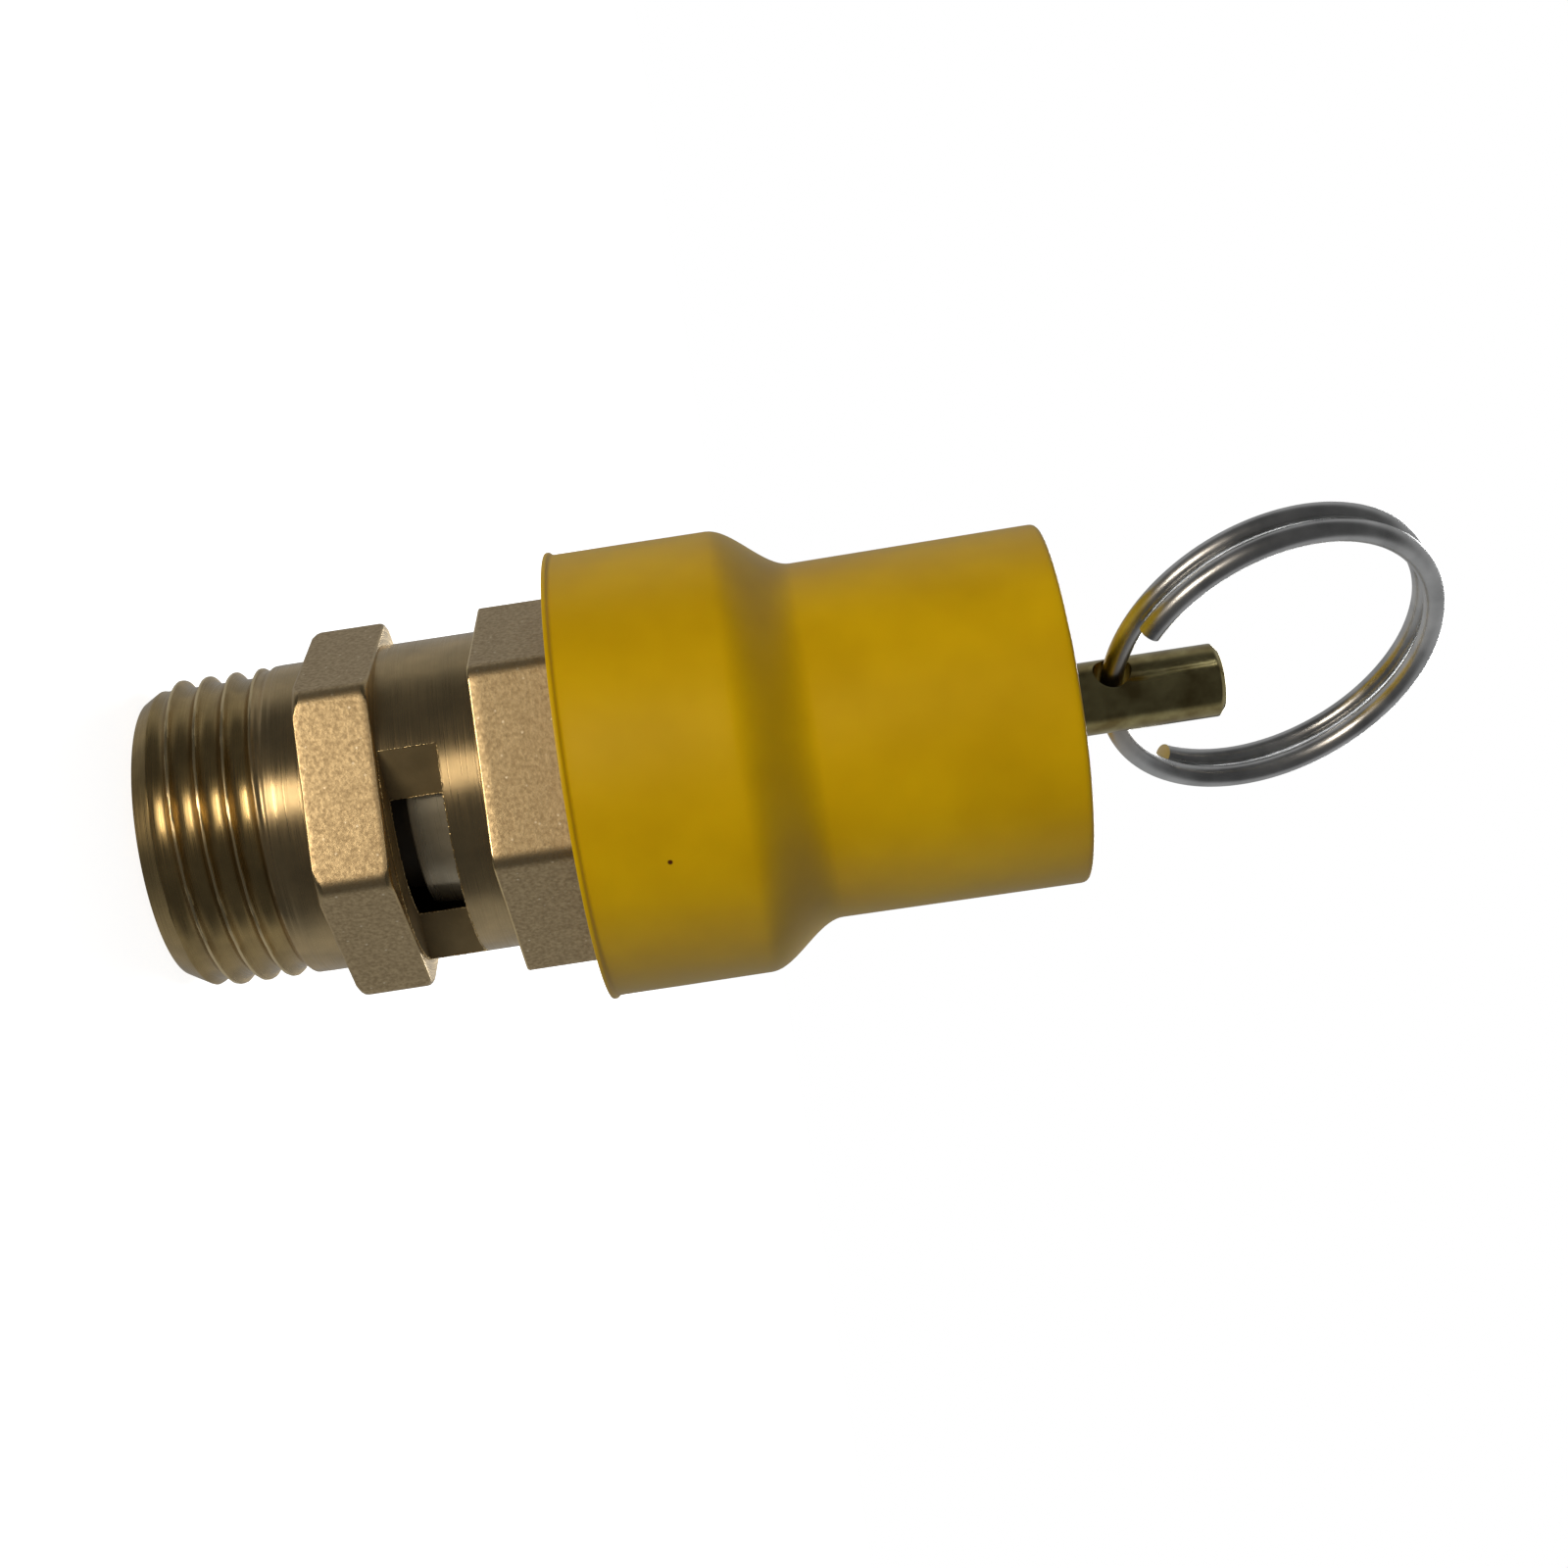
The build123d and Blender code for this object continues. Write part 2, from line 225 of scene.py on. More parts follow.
def drawn_brass():
    """Bar-stock flats as drawn and tumbled: a sandy grain with pits and tiny facets, and painted
    glints: small pale dots mixed into the colour.
    """
    grain_size = 0.26
    facet_size = 0.17
    dent_size = 1.6
    painted_glint_spacing = 0.95
    relief = 0.0065
    material, tree, shader = new_material("brass_drawn_bar")
    place = node(tree, "ShaderNodeTexCoord").outputs["Object"]
    grain = node(
        tree,
        "ShaderNodeTexNoise",
        {"Scale": 1 / (grain_size * mm), "Detail": 4.0},
        {"Vector": place},
    ).outputs["Fac"]
    facets = node(
        tree, "ShaderNodeTexVoronoi", {"Scale": 1 / (facet_size * mm)}, {"Vector": place}
    ).outputs["Distance"]
    dents = node(
        tree,
        "ShaderNodeTexNoise",
        {"Scale": 1 / (dent_size * mm), "Detail": 2.0},
        {"Vector": place},
    ).outputs["Fac"]
    height = node(tree, "ShaderNodeMath", {"operation": "MULTIPLY", 1: 0.5}, {0: facets}).outputs[0]
    height = node(tree, "ShaderNodeMath", {"operation": "ADD"}, {0: height, 1: grain}).outputs[0]
    height = node(tree, "ShaderNodeMath", {"operation": "ADD"}, {0: height, 1: dents}).outputs[0]
    bump = node(
        tree, "ShaderNodeBump", {"Strength": 1.0, "Distance": relief * mm}, {"Height": height}
    ).outputs[0]
    grain_share = node(
        tree, "ShaderNodeMapRange", {"From Min": 0.35, "From Max": 0.65}, {"Value": grain}
    ).outputs[0]
    colour = node(
        tree,
        "ShaderNodeMixRGB",
        {"Color1": linear("B9A27B"), "Color2": linear("D3BC91")},
        {"Fac": grain_share},
    ).outputs[0]
    # Painted glints: small pale dots in the colour that stand in for facets catching the lamp.
    painted_glint_cells = node(
        tree, "ShaderNodeTexVoronoi", {"Scale": 1 / (painted_glint_spacing * mm)}, {"Vector": place}
    )
    painted_glint = node(
        tree,
        "ShaderNodeMapRange",
        {"From Min": 0.04, "From Max": 0.12, "To Min": 1, "To Max": 0},
        {"Value": painted_glint_cells.outputs["Distance"]},
    ).outputs[0]
    colour = node(
        tree, "ShaderNodeMixRGB", {"Color2": linear("F8E8C6")}, {"Fac": painted_glint, "Color1": colour}
    ).outputs[0]
    tree.links.new(colour, shader.inputs["Base Color"])
    dullness = node(
        tree,
        "ShaderNodeMapRange",
        {"From Min": 0.3, "From Max": 0.7, "To Min": 0.5, "To Max": 0.38},
        {"Value": grain},
    ).outputs[0]
    tree.links.new(dullness, shader.inputs["Roughness"])
    tree.links.new(bump, shader.inputs["Normal"])
    shader.inputs["Metallic"].default_value = 1.0
    return material


brass_drawn = drawn_brass()

# Angles round the axis, closer together where the hexagon's corners need it.
coarse_angles = np.arange(0, 360, 2.0)
corner_angles = [60 * k + a for k in range(6) for a in np.arange(-3.2, 3.21, 0.4)]
angles = np.unique(np.round(np.mod(np.concatenate([coarse_angles, corner_angles]), 360), 3))
theta = np.radians(angles)


def soft_min(a, b, edge):
    """The smaller of two values, with the corner between them rounded over."""
    share = np.clip(0.5 + 0.5 * (b - a) / edge, 0, 1)
    return b * (1 - share) + a * share - edge * share * (1 - share)


def hexagon(angle):
    """Distance of the hexagon from the axis, with its corners turned off."""
    corner_blend = 0.16
    from_flat = np.radians(np.mod(np.degrees(angle), 60) - 30)
    return soft_min(across_flats / 2 / np.cos(from_flat), corner_radius, corner_blend)


def thread(height, angle):
    """Radius of the right-hand inlet thread, which fades out towards its end."""
    thread_start = 0.25
    crest_blend = 0.06
    turn = np.mod(height / thread_pitch - angle / (2 * math.pi) + thread_start, 1.0)
    from_crest = np.clip(1 - np.abs(turn - 0.5) * 2 - thread_crest, 0, 1) / (1 - thread_crest)
    groove = 1 - (1 - from_crest) ** thread_hollow
    fade = np.clip((thread_end + 0.2 - height) / thread_runout, 0, 1)
    lead_in = end_face_radius + height * (shank_radius - end_face_radius) / thread_lead_in
    crest = np.minimum(shank_radius, lead_in)
    cut = shank_radius - thread_depth * groove * fade
    return soft_min(cut, crest, crest_blend)


rows = []


def add_row(radius, height, finish):
    """One ring of the body's surface. The finish is that of the band up to the next ring."""
    shape = theta.shape
    rows.append((np.broadcast_to(radius, shape), np.broadcast_to(height, shape), finish))


def add_line(start, end, count, finish):
    """Rings along a straight line of the turned outline, its last point left to what follows."""
    for share in np.arange(count) / count:
        add_row(
            start[0] + (end[0] - start[0]) * share, start[1] + (end[1] - start[1]) * share, finish
        )


def add_hexagon(levels, root_below, root_above, cuts, low_edge):
    """A run of hexagon. Each cut is (radius where the corner chamfer starts, its slope)."""
    reach = hexagon(theta)
    low, high = levels
    (cut_low, slope_low), (cut_high, slope_high) = cuts
    rise = np.maximum(hex_edge, slope_low * (reach - cut_low))
    drop = np.maximum(hex_edge, slope_high * (reach - cut_high))
    inner_low = np.minimum(reach - hex_edge, cut_low)
    inner_high = np.minimum(reach - hex_edge, cut_high)
    ring_shares = np.linspace(0, 1, 5)
    for share in ring_shares[:-1]:
        add_row(root_below + (inner_low - root_below) * share, low, "turned")
    for lean in np.radians([0, 22.5, 45, 67.5]):
        add_row(
            inner_low + (reach - inner_low) * math.sin(lean),
            low + rise * (1 - math.cos(lean)),
            low_edge,
        )
    for share in np.linspace(0, 1, 17)[:-1]:
        add_row(reach, (low + rise) * (1 - share) + (high - drop) * share, "drawn")
    for lean in np.radians([90, 67.5, 45, 22.5]):
        add_row(
            inner_high + (reach - inner_high) * math.sin(lean),
            high - drop * (1 - math.cos(lean)),
            "turned",
        )
    for share in ring_shares[:0:-1]:
        add_row(root_above + (inner_high - root_above) * share, high, "turned")


thread_rows_end = lower_hex[0] - relief_length
throat_low, throat_high = throat_cone
seat_foot = seat_level - seat_height
housing_edge = housing_radius - rim_chamfer
bore_edge = bore_radius + rim_chamfer
add_line((bore_edge, 0), (end_face_edge, 0), 6, "turned")
# Below the highlight end the thread takes the finish with painted highlights on its crests.
for level in np.arange(0, thread_rows_end, thread_step):
    finish = "threaded" if level < thread_highlight_end else "turned"
    add_row(thread(level + thread_shift, theta), level, finish)
add_line((shank_radius, thread_rows_end), (shank_radius, lower_hex[0]), 6, "turned")
add_hexagon(lower_hex, shank_radius, neck_radius, lower_cuts, "turned")
add_line((neck_radius, lower_hex[1]), (neck_radius, upper_hex[0]), 20, "turned")
# The upper hexagon's lower edge takes the light burr brass: a painted highlight along that edge.
add_hexagon(upper_hex, neck_radius, housing_radius, upper_cuts, "painted_edge_highlight")
add_line((housing_radius, upper_hex[1]), (housing_radius, body_top - rim_chamfer), 12, "turned")
add_line((housing_radius, body_top - rim_chamfer), (housing_edge, body_top), 3, "turned")
add_line((housing_edge, body_top), (socket_radius, body_top), 3, "turned")
add_line((socket_radius, body_top), (socket_radius, socket_floor), 6, "bored")
add_line((socket_radius, socket_floor), (chamber_radius, socket_floor), 2, "bored")
add_line((chamber_radius, socket_floor), (chamber_radius, seat_foot), 30, "bored")
add_line((chamber_radius, seat_foot), (seat_foot_radius, seat_foot), 4, "bored")
add_line((seat_foot_radius, seat_foot), (seat_rim_radius, seat_level), 3, "turned")
add_line((seat_rim_radius, seat_level), (throat_radius, seat_level), 3, "turned")
add_line((throat_radius, seat_level), (throat_radius, throat_high), 4, "bored")
add_line((throat_radius, throat_high), (bore_radius, throat_low), 4, "bored")
add_line((bore_radius, throat_low), (bore_radius, rim_chamfer), 16, "bored")
add_line((bore_radius, rim_chamfer), (bore_edge, 0), 3, "turned")


def solid_mesh(name, rings, finishes, materials, merge=0.002, closed=True):
    """A solid from rings of points, with a material slot for each ring. The last ring joins the
    first one if it is closed, and points nearer than the merge distance become one."""
    ring_count, point_count = rings.shape[:2]
    index = np.arange(ring_count * point_count).reshape(ring_count, point_count)
    across = np.roll(index, -1, axis=1)
    quads = np.stack(
        [index, across, np.roll(across, -1, axis=0), np.roll(index, -1, axis=0)], axis=-1
    )
    if not closed:
        quads, finishes = quads[:-1], finishes[:-1]
    mesh = bpy.data.meshes.new(name)
    mesh.from_pydata((rings.reshape(-1, 3) * mm).tolist(), [], quads.reshape(-1, 4).tolist())
    mesh.polygons.foreach_set("material_index", np.repeat(finishes, point_count).astype(np.int32))
    shell = bmesh.new()
    shell.from_mesh(mesh)
    bmesh.ops.remove_doubles(shell, verts=shell.verts, dist=merge * mm)
    bmesh.ops.recalc_face_normals(shell, faces=shell.faces)
    shell.to_mesh(mesh)
    shell.free()
    for material in materials:
        mesh.materials.append(material)
    piece = bpy.data.objects.new(name, mesh)
    bpy.context.scene.collection.objects.link(piece)
    return piece


def smooth_with_edges(piece, sharp_angle):
    """Smooth shading that keeps the edges sharper than the angle."""
    piece.data.polygons.foreach_set("use_smooth", [True] * len(piece.data.polygons))
    piece.data.set_sharp_from_angle(angle=math.radians(sharp_angle))


def cut_away(piece, cutters):
    """Cuts other closed meshes out of a piece and keeps the result as its own mesh."""
    for cutter in cutters:
        cut = piece.modifiers.new("cut", "BOOLEAN")
        cut.operation = "DIFFERENCE"
        cut.solver = "EXACT"
        cut.object = cutter
    graph = bpy.context.evaluated_depsgraph_get()
    finished = bpy.data.meshes.new_from_object(piece.evaluated_get(graph))
    piece.modifiers.clear()
    piece.data = finished
    for cutter in cutters:
        bpy.data.objects.remove(cutter)


finish_slots = {"turned": 0, "drawn": 1, "bored": 2, "threaded": 3, "painted_edge_highlight": 4}
body_grid = np.array(
    [np.stack([r * np.cos(theta), r * np.sin(theta), z], axis=-1) for r, z, finish in rows]
)
body = solid_mesh(
    "valve_body",
    body_grid,
    [finish_slots[finish] for r, z, finish in rows],
    [brass_turned, brass_drawn, brass_bored, brass_threaded, brass_burr_and_highlight],
)


def window_cutter(direction):
    """The slot that the milling cutter sweeps across the neck."""
    turn = math.radians(direction)
    outward = Vector((math.cos(turn), math.sin(turn), 0))
    along = Vector((-math.sin(turn), math.cos(turn), 0))
    mesh = bpy.data.meshes.new("window_cutter")
    slot = bmesh.new()
    bmesh.ops.create_cube(slot, size=1.0)
    reach = 2 * corner_radius
    low, high = window_levels
    for vert in slot.verts:
        out = window_plane + (vert.co.x + 0.5) * reach
        side = vert.co.y * 2 * reach
        level = (low + high) / 2 + vert.co.z * (high - low)
        vert.co = (outward * out + along * side + Vector((0, 0, level))) * mm
    for face in slot.faces:
        face.material_index = finish_slots["bored"]
    bmesh.ops.recalc_face_normals(slot, faces=slot.faces)
    slot.to_mesh(mesh)
    slot.free()
    cutter = bpy.data.objects.new("window_cutter", mesh)
    bpy.context.scene.collection.objects.link(cutter)
    return cutter


cut_away(body, [window_cutter(direction) for direction in window_directions])
smooth_with_edges(body, sharp_angle=40)
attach(body, "housing")
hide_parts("body")

burr_size = 0.075
burr_spacing = 0.07
burr_wander = 0.012
burr_random = np.random.default_rng(7)


def sweep(points, sizes, sides):
    """Rings of a round section along a line of points, with a size for each point."""
    along_no_edge = (0.31, 0.52, 0.79)
    points = np.asarray(points, float)
    tangents = np.gradient(points, axis=0)
    tangents /= np.linalg.norm(tangents, axis=1)[:, None]
    side = np.cross(tangents[0], along_no_edge)
    rings = []
    for point, tangent, size in zip(points, tangents, sizes):
        side = side - tangent * np.dot(side, tangent)
        side = side / np.linalg.norm(side)
        other = np.cross(tangent, side)
        turn = np.linspace(0, 2 * math.pi, sides, endpoint=False)[:, None]
        rings.append(point + size * (np.cos(turn) * side + np.sin(turn) * other))
    return np.array(rings)


def tube_mesh(name, rings, material):
    """A smooth tube from the rings of a sweep, with a point at each end that closes it."""
    first = np.broadcast_to(rings[0].mean(axis=0), rings[0].shape)
    last = np.broadcast_to(rings[-1].mean(axis=0), rings[-1].shape)
    capped = np.concatenate([first[None], rings, last[None]])
    piece = solid_mesh(name, capped, np.zeros(len(capped)), [material], merge=0.001, closed=False)
    piece.data.polygons.foreach_set("use_smooth", [True] * len(piece.data.polygons))
    return piece


def window_edges(direction):
    """The lines round a window where the milling cutter leaves a burr."""
    turn = math.radians(direction)
    outward = np.array([math.cos(turn), math.sin(turn), 0])
    along = np.array([-math.sin(turn), math.cos(turn), 0])
    up = np.array([0, 0, 1.0])
    arc_points = 24
    low, high = window_levels
    edges = []
    for radius in (neck_radius, chamber_radius):
        half = math.sqrt(radius**2 - window_plane**2)
        swing = math.asin(half / radius)
        for side in (-half, half):
            edges.append([outward * window_plane + along * side + up * z for z in (low, high)])
        for level in (low, high):
            edges.append(
                [
                    radius * (outward * math.cos(a) + along * math.sin(a)) + up * level
                    for a in np.linspace(-swing, swing, arc_points)
                ]
            )
    return edges


def burr(points):
    """A ragged bead along an edge: its size and place wander as torn metal does."""
    points = np.asarray(points)
    steps = np.linalg.norm(np.diff(points, axis=0), axis=1)
    travel = np.concatenate([[0], np.cumsum(steps)])
    count = int(travel[-1] / burr_spacing)
    places = np.linspace(0, travel[-1], count)
    line = np.stack([np.interp(places, travel, points[:, k]) for k in range(3)], axis=-1)
    line += burr_random.normal(0, burr_wander, line.shape)
    sizes = burr_size * np.clip(burr_random.normal(0.5, 0.3, count), 0.12, 1.0)
    return sweep(line, sizes, 6)


# The beads take the light burr brass: partly bare metal, partly a painted highlight along the
# window edges.
for number, direction in enumerate(window_directions):
    strips = [burr(edge) for edge in window_edges(direction)]
    for part, rings in enumerate(strips):
        bead = tube_mesh(f"window_burr_{number}_{part}", rings, brass_burr_and_highlight)
        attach(bead, "housing")

# ---------------------------------------------------------------------------------------------
# Valve disc. A turned brass holder slides in the chamber and carries a nitrile rubber disc,
# clamped by a stainless washer and a cheese head screw. It shows through the windows.
# ---------------------------------------------------------------------------------------------
holder_low, holder_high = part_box("disc_holder")
holder_nose = 7.0
holder_flare = 7.15
holder_guide = 8.2
holder_cup = 7.3
holder_boss = 4.75
holder_swivel = 3.8
flare_level = 20.0
guide_levels = (20.6, 24.4)
cup_floor = 22.4
swivel_floor = cup_floor + 0.2
clip_mouth = 4.15
clip_mouth_depth = 0.4
seal_radius = 5.8
seal_top = 17.9


def rounded_outline(corners, spacing):
    """A closed outline from (radius, height, corner radius). Its corners become arcs, and no step
    is longer than the spacing."""
    count = len(corners)
    outline = []
    for i, (r, z, fillet) in enumerate(corners):
        here = np.array([r, z], float)
        before = np.array(corners[i - 1][:2], float) - here
        after = np.array(corners[(i + 1) % count][:2], float) - here
        reach = min(fillet, np.linalg.norm(before) * 0.45, np.linalg.norm(after) * 0.45)
        start = here + before / np.linalg.norm(before) * reach
        end = here + after / np.linalg.norm(after) * reach
        shares = np.linspace(0, 1, 6) if reach > 0 else [0]
        for t in shares:
            outline.append((1 - t) ** 2 * start + 2 * t * (1 - t) * here + t**2 * end)
    filled = []
    for i, point in enumerate(outline):
        following = outline[(i + 1) % len(outline)]
        length = np.linalg.norm(following - point)
        pieces = max(1, int(math.ceil(length / spacing)))
        for k in range(pieces):
            filled.append(point + (following - point) * k / pieces)
    return np.array(filled)


def turned_piece(name, corners, spacing, material, sides=160):
    """A closed solid of revolution."""
    outline = rounded_outline(corners, spacing)
    turn = np.linspace(0, 2 * math.pi, sides, endpoint=False)
    grid = np.stack(
        [
            outline[:, 0, None] * np.cos(turn),
            outline[:, 0, None] * np.sin(turn),
            np.repeat(outline[:, 1, None], sides, axis=1),
        ],
        axis=-1,
    )
    piece = solid_mesh(name, grid, np.zeros(len(outline)), [material])
    smooth_with_edges(piece, sharp_angle=50)
    return piece


# The holder is greyer than the body: oiled, with coarser tool marks.
brass_holder = turned_brass("brass_oiled_holder", "ADA289", "CFC5AC", 0.3, 0.16, 0.003, 0.6)
holder_bottom = holder_low.z / mm
holder_top = holder_high.z / mm
guide_low, guide_high = guide_levels
holder = turned_piece(
    "disc_holder_turned",
    [
        (0, seal_top, 0),
        (seal_radius, seal_top, 0),
        (seal_radius, holder_bottom, 0.05),
        (holder_nose, holder_bottom, 0.15),
        (holder_flare, flare_level, 0.2),
        (holder_flare, guide_low, 0.1),
        (holder_guide, guide_low, 0.15),
        (holder_guide, guide_high, 0.1),
        (holder_cup, guide_high, 0.1),
        (holder_cup, cup_floor, 0.1),
        (holder_boss, cup_floor, 0.1),
        (holder_boss, holder_top - clip_mouth_depth, 0.1),
        (clip_mouth, holder_top - clip_mouth_depth, 0.0),
        (clip_mouth, holder_top, 0.0),
        (holder_swivel, holder_top, 0.0),
        (holder_swivel, swivel_floor, 0.1),
        (0, swivel_floor, 0),
    ],
    spacing=0.4,
    material=brass_holder,
)
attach(holder, "disc")
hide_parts("disc_holder")


def nitrile_rubber():
    """Moulded black rubber, painted a lighter grey-brown as painted light on its shaded side:
    nearly matt, with a faint chalky bloom.
    """
    bloom_patch = 0.8
    relief = 0.01
    material, tree, shader = new_material("nitrile_rubber_moulded")
    place = node(tree, "ShaderNodeTexCoord").outputs["Object"]
    bloom = node(
        tree,
        "ShaderNodeTexNoise",
        {"Scale": 1 / (bloom_patch * mm), "Detail": 5.0},
        {"Vector": place},
    ).outputs["Fac"]
    # The grey-brown colour is painted light: it lifts the rubber's side that lies in shade.
    colour = node(
        tree,
        "ShaderNodeMixRGB",
        {"Color1": linear("544B3C"), "Color2": linear("6A5F4D")},
        {"Fac": bloom},
    ).outputs[0]
    tree.links.new(colour, shader.inputs["Base Color"])
    bump = node(
        tree, "ShaderNodeBump", {"Strength": 0.6, "Distance": relief * mm}, {"Height": bloom}
    ).outputs[0]
    tree.links.new(bump, shader.inputs["Normal"])
    shader.inputs["Roughness"].default_value = 0.6
    shader.inputs["IOR"].default_value = 1.52
    return material


def turned_steel(name, dark, light, roughness, line_width):
    """Turned or drawn steel: neutral grey with fine rings."""
    line_height = 0.003
    material, tree, shader = new_material(name)
    rings = lathe_coordinates(tree)
    lines = node(
        tree,
        "ShaderNodeTexNoise",
        {"Scale": 1 / (line_width * mm), "Detail": 3.0},
        {"Vector": rings},
    ).outputs["Fac"]
    colour = node(
        tree, "ShaderNodeMixRGB", {"Color1": linear(dark), "Color2": linear(light)}, {"Fac": lines}
    ).outputs[0]
    tree.links.new(colour, shader.inputs["Base Color"])
    dullness = node(
        tree,
        "ShaderNodeMapRange",
        {"From Min": 0.3, "From Max": 0.7, "To Min": roughness - 0.06, "To Max": roughness + 0.1},
        {"Value": lines},
    ).outputs[0]
    tree.links.new(dullness, shader.inputs["Roughness"])
    bump = node(
        tree, "ShaderNodeBump", {"Strength": 1.0, "Distance": line_height * mm}, {"Height": lines}
    ).outputs[0]
    tree.links.new(bump, shader.inputs["Normal"])
    shader.inputs["Metallic"].default_value = 1.0
    return material


def finish_node(name, material):
    """Gives a CAD piece, whose shape is right as it is, its own finish."""
    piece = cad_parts[name]
    if not piece.material_slots:
        piece.data.materials.append(material)
    for slot in piece.material_slots:
        slot.material = material


finish_node("seal_disc", nitrile_rubber())
stainless = turned_steel("stainless_turned", "9A9A98", "C4C4C0", 0.3, 0.12)
finish_node("seal_washer", stainless)
finish_node("seal_screw", stainless)
finish_node("stem_clip", turned_steel("spring_steel_stamped", "3F4144", "5C5F63", 0.42, 0.2))

# ---------------------------------------------------------------------------------------------
# Lifting stem. Drawn steel rod with a turned head and a drilled cross hole, zinc plated and
# yellow passivated. Its head swivels in the disc holder, and the ring passes through the hole.
# ---------------------------------------------------------------------------------------------
stem_low, stem_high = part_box("stem")
stem_radius = 2.5
stem_bottom = stem_low.z / mm
stem_top = stem_high.z / mm
stem_head = stem_high.x / mm
stem_head_height = 1.8
stem_tip_chamfer = 0.4
hole_radius = 1.3
hole_level = 64.3
hole_direction = math.radians(-125)


def yellow_zinc():
    """Yellow passivated zinc: a dark olive mirror that shifts to gold and brown, with handling
    marks along it."""
    cloud_patch = 1.8
    mark_width = 0.1
    mark_stretch = 0.06
    mark_height = 0.002
    material, tree, shader = new_material("zinc_yellow_passivated")
    place = node(tree, "ShaderNodeTexCoord").outputs["Object"]
    cloud = node(
        tree,
        "ShaderNodeTexNoise",
        {"Scale": 1 / (cloud_patch * mm), "Detail": 4.0},
        {"Vector": place},
    ).outputs["Fac"]
    along = node(
        tree, "ShaderNodeMapping", {"Scale": (1, 1, mark_stretch)}, {"Vector": place}
    ).outputs[0]
    marks = node(
        tree,
        "ShaderNodeTexNoise",
        {"Scale": 1 / (mark_width * mm), "Detail": 2.0},
        {"Vector": along},
    ).outputs["Fac"]
    cloud_share = node(
        tree, "ShaderNodeMapRange", {"From Min": 0.35, "From Max": 0.65}, {"Value": cloud}
    ).outputs[0]
    colour = node(
        tree,
        "ShaderNodeMixRGB",
        {"Color1": linear("8E7D4F"), "Color2": linear("C0B47F")},
        {"Fac": cloud_share},
    ).outputs[0]
    tree.links.new(colour, shader.inputs["Base Color"])
    dullness = node(
        tree,
        "ShaderNodeMapRange",
        {"From Min": 0.3, "From Max": 0.7, "To Min": 0.12, "To Max": 0.22},
        {"Value": cloud},
    ).outputs[0]
    tree.links.new(dullness, shader.inputs["Roughness"])
    bump = node(
        tree, "ShaderNodeBump", {"Strength": 1.0, "Distance": mark_height * mm}, {"Height": marks}
    ).outputs[0]
    tree.links.new(bump, shader.inputs["Normal"])
    shader.inputs["Metallic"].default_value = 1.0
    return material


zinc_yellow = yellow_zinc()
stem = turned_piece(
    "stem_rod",
    [
        (0, stem_bottom, 0),
        (stem_head, stem_bottom, 0.1),
        (stem_head, stem_bottom + stem_head_height, 0.1),
        (stem_radius, stem_bottom + stem_head_height, 0.1),
        (stem_radius, stem_top - stem_tip_chamfer, 0.12),
        (stem_radius - stem_tip_chamfer, stem_top, 0.12),
        (0, stem_top, 0),
    ],
    spacing=0.5,
    material=zinc_yellow,
    sides=96,
)
through_hole = np.array([math.cos(hole_direction), math.sin(hole_direction), 0])
hole_middle = np.array([0, 0, hole_level])
drill_line = [hole_middle + through_hole * reach for reach in np.linspace(-6, 6, 13)]
drill_sizes = [hole_radius] * len(drill_line)
drill = tube_mesh("cross_hole_drill", sweep(drill_line, drill_sizes, 48), zinc_yellow)
cut_away(stem, [drill])
smooth_with_edges(stem, sharp_angle=40)
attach(stem, "lifting_stem")
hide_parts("stem")

# The coil keeps its upper end on the plate: a copy of the spring's mesh, kept with the housing.
coil = bpy.data.objects.new("spring_coil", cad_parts["spring"].data.copy())
bpy.context.scene.collection.objects.link(coil)
coil.data.materials.clear()
coil.data.materials.append(turned_steel("spring_wire_oil_tempered", "2F3033", "4B4D52", 0.36, 0.3))
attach(coil, "housing")
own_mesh(coil)
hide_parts("spring")
finish_node("spring_plate", turned_steel("zinc_bright_plated", "A3A7AA", "C5C9CB", 0.32, 0.15))
finish_node("adjusting_screw", brass_turned)
finish_node("lock_ring", brass_turned)

# ---------------------------------------------------------------------------------------------
# Cap. Soft yellow vinyl, dip moulded over a former: a skirt that clears the hexagon, a rounded
# shoulder and a grip that holds the housing. Its cut lip carries a thin flash.
# ---------------------------------------------------------------------------------------------
cap_low, cap_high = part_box("cap")
lip_radius = cap_high.y / mm
cap_bottom = cap_low.z / mm
cap_top = cap_high.z / mm
skirt_outer = 15.05
skirt_inner = 13.5
grip_outer = 12.1
grip_inner = 10.55
flare_outer = 12.25
shoulder_start = 38.7
shoulder_end = 44.0
end_wall = 2.0
cap_hole = 3.0
lip_height = 0.25
lip_end = 0.45
flare_height = 1.0


def shoulder_curve(outer, inner, start, end, count=22):
    """Two equal arcs that run from the skirt to the grip."""
    t = np.linspace(0, 1, count)
    ease = t * t * (3 - 2 * t)
    return [(outer + (inner - outer) * e, start + (end - start) * s, 0) for e, s in zip(ease, t)]


